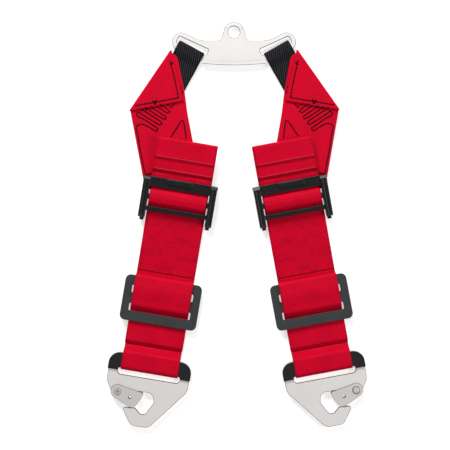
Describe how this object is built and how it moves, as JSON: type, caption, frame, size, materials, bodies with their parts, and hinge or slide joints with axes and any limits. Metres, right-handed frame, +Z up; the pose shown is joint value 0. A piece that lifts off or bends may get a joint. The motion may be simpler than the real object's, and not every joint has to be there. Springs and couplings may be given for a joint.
{
  "type": "racing harness",
  "caption": "Two-tailed racing harness strap: steel yoke tongue, folded webbing straps with tilt-lock adjusters and flat slides, ending in gated snap hooks.",
  "frame": {"origin": "centre of the hole in the yoke's tongue, at the middle of the plate", "axes": "+Y along the harness towards the yoke, +Z up off the surface it lies on, +X across to the right strap"},
  "size_m": [0.2215, 0.3466, 0.0131],
  "materials": {
    "yoke_steel": "satin zinc-plated pressed steel",
    "sling_webbing": "woven black polyester webbing",
    "strap_webbing": "woven red polyester webbing with a slight sheen",
    "adjuster_black": "black electro-coated steel",
    "slide_black": "dark grey powder-coated steel",
    "cover_plastic": "moulded black nylon, slight sheen",
    "hook_steel": "satin nickel-plated steel",
    "gate_steel": "satin nickel-plated sheet steel",
    "rivet_steel": "bright steel rivet",
    "spring_steel": "spring wire"
  },
  "bodies": {
    "root": {"yoke_plate": "yoke_steel", "left_sling_loop": "sling_webbing", "right_sling_loop": "sling_webbing"},
    "left_upper": {"left_sling_tail": "sling_webbing", "left_upper_strap": "strap_webbing", "left_anchor_loop": "strap_webbing"},
    "left_adjuster": {"left_adjuster_frame": "adjuster_black", "left_anchor_bar": "adjuster_black", "left_lock_wrap": "strap_webbing"},
    "left_lock": {"left_lock_bar": "adjuster_black"},
    "left_run": {"left_run_strap": "strap_webbing"},
    "left_tab": {"left_pull_tab": "strap_webbing"},
    "left_lower": {"left_lower_strap": "strap_webbing", "left_three_bar_slide": "slide_black", "left_slide_wrap": "strap_webbing"},
    "left_hook": {"left_hook_loop": "strap_webbing", "left_hook_cover": "cover_plastic", "left_hook_plate": "hook_steel"},
    "left_gate": {"left_hook_gate": "gate_steel", "left_gate_rivet": "rivet_steel", "left_gate_spring": "spring_steel"},
    "right_upper": {"right_sling_tail": "sling_webbing", "right_upper_strap": "strap_webbing", "right_anchor_loop": "strap_webbing"},
    "right_adjuster": {"right_adjuster_frame": "adjuster_black", "right_anchor_bar": "adjuster_black", "right_lock_wrap": "strap_webbing"},
    "right_lock": {"right_lock_bar": "adjuster_black"},
    "right_run": {"right_run_strap": "strap_webbing"},
    "right_tab": {"right_pull_tab": "strap_webbing"},
    "right_lower": {"right_lower_strap": "strap_webbing", "right_three_bar_slide": "slide_black", "right_slide_wrap": "strap_webbing"},
    "right_hook": {"right_hook_loop": "strap_webbing", "right_hook_cover": "cover_plastic", "right_hook_plate": "hook_steel"},
    "right_gate": {"right_hook_gate": "gate_steel", "right_gate_rivet": "rivet_steel", "right_gate_spring": "spring_steel"}
  },
  "joints": [
    {"name": "left_sling_flex", "type": "hinge", "parent": "root", "child": "left_upper", "pos_m": [-0.04229, -0.02494, -0.0014], "axis": [-0.8788, 0.4772, 0], "range_deg": [0, 20]},
    {"name": "left_adjuster_tilt", "type": "hinge", "parent": "left_upper", "child": "left_adjuster", "pos_m": [-0.04523, -0.129, 0.00018], "axis": [-0.9861, 0.1659, 0], "range_deg": [0, 20]},
    {"name": "left_lock_bar_slide", "type": "slide", "parent": "left_adjuster", "child": "left_lock", "axis": [0.1653, 0.9827, 0.0837], "range_m": [-0.0012, 0.0012]},
    {"name": "left_strap_length", "type": "slide", "parent": "left_upper", "child": "left_run", "axis": [0.1653, 0.9827, 0.0837], "range_m": [0, 0.03]},
    {"name": "left_tab_flex", "type": "hinge", "parent": "left_run", "child": "left_tab", "pos_m": [-0.04404, -0.12195, 0.00469], "axis": [0.9861, -0.1659, 0], "range_deg": [0, 90]},
    {"name": "left_strap_flex", "type": "hinge", "parent": "left_run", "child": "left_lower", "pos_m": [-0.05775, -0.20347, -0.00225], "axis": [-0.9861, 0.1659, 0], "range_deg": [0, 50]},
    {"name": "left_hook_flex", "type": "hinge", "parent": "left_lower", "child": "left_hook", "pos_m": [-0.06904, -0.27053, -0.0016], "axis": [-0.9861, 0.1659, 0], "range_deg": [0, 75]},
    {"name": "left_gate_pivot", "type": "hinge", "parent": "left_hook", "child": "left_gate", "pos_m": [-0.09923, -0.30652, 0.00135], "axis": [0, 0, 1], "range_deg": [0, 28], "stiffness_Nm_per_rad": 0.08, "springref_deg": -28.65},
    {"name": "right_sling_flex", "type": "hinge", "parent": "root", "child": "right_upper", "pos_m": [0.0425, -0.02482, -0.0014], "axis": [-0.8708, -0.4917, 0], "range_deg": [0, 20]},
    {"name": "right_adjuster_tilt", "type": "hinge", "parent": "right_upper", "child": "right_adjuster", "pos_m": [0.04717, -0.12882, 0.00018], "axis": [-0.9833, -0.1822, 0], "range_deg": [0, 20]},
    {"name": "right_lock_bar_slide", "type": "slide", "parent": "right_adjuster", "child": "right_lock", "axis": [-0.1816, 0.9798, 0.0837], "range_m": [-0.0012, 0.0012]},
    {"name": "right_strap_length", "type": "slide", "parent": "right_upper", "child": "right_run", "axis": [-0.1816, 0.9798, 0.0837], "range_m": [0, 0.03]},
    {"name": "right_tab_flex", "type": "hinge", "parent": "right_run", "child": "right_tab", "pos_m": [0.04587, -0.1218, 0.00469], "axis": [0.9833, 0.1822, 0], "range_deg": [0, 90]},
    {"name": "right_strap_flex", "type": "hinge", "parent": "right_run", "child": "right_lower", "pos_m": [0.06093, -0.20307, -0.00225], "axis": [-0.9833, -0.1822, 0], "range_deg": [0, 50]},
    {"name": "right_hook_flex", "type": "hinge", "parent": "right_lower", "child": "right_hook", "pos_m": [0.07332, -0.26993, -0.0016], "axis": [-0.9833, -0.1822, 0], "range_deg": [0, 75]},
    {"name": "right_gate_pivot", "type": "hinge", "parent": "right_hook", "child": "right_gate", "pos_m": [0.1041, -0.30542, 0.00135], "axis": [0, 0, -1], "range_deg": [0, 28], "stiffness_Nm_per_rad": 0.08, "springref_deg": -28.65}
  ]
}
